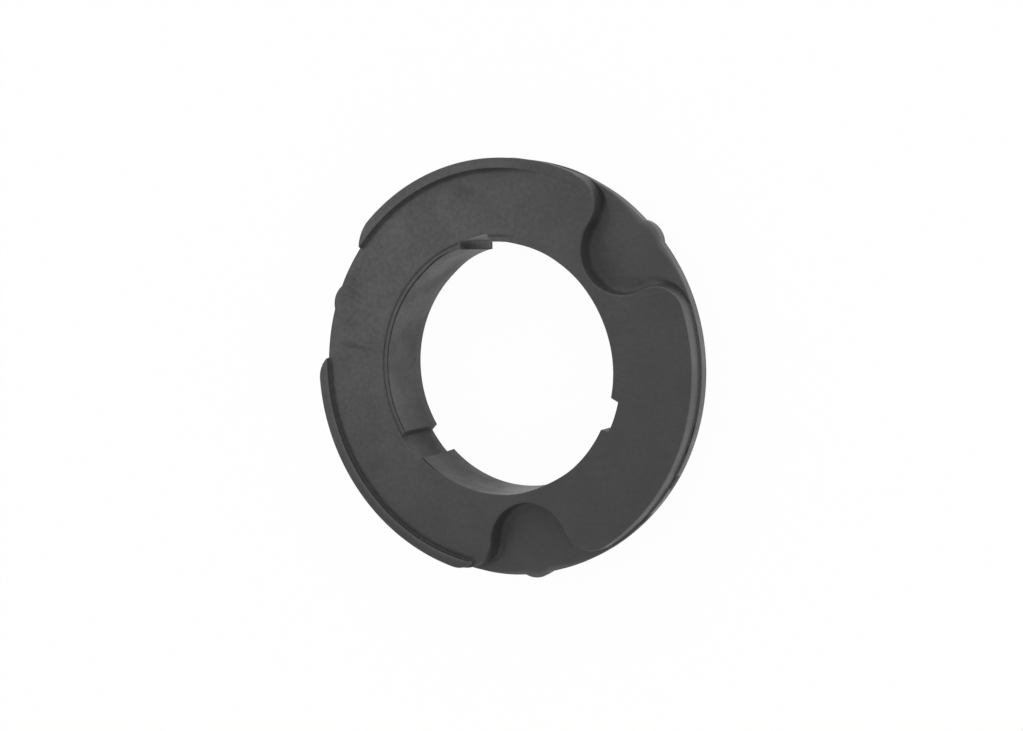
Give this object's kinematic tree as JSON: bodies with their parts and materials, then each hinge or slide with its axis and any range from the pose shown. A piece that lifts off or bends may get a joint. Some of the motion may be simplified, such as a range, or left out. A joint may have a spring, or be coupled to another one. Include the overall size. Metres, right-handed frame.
{
  "type": "coil spring insulator",
  "caption": "Moulded rubber ring that seats a coil spring's end, with a collar, a lugged flange, raised pads with rims, pockets between the pads and a notched bore.",
  "frame": {"origin": "on the ring's axis, in the plane of the collar's back end that the ring lies on", "axes": "+Z along the ring's axis, from the collar's back end to the pads' side; +X points to the right of the pictured view"},
  "size_m": [0.1402, 0.1404, 0.0239],
  "materials": {
    "rubber": "matt black moulded rubber"
  },
  "bodies": {
    "root": {"spring_insulator": "rubber"}
  },
  "joints": []
}
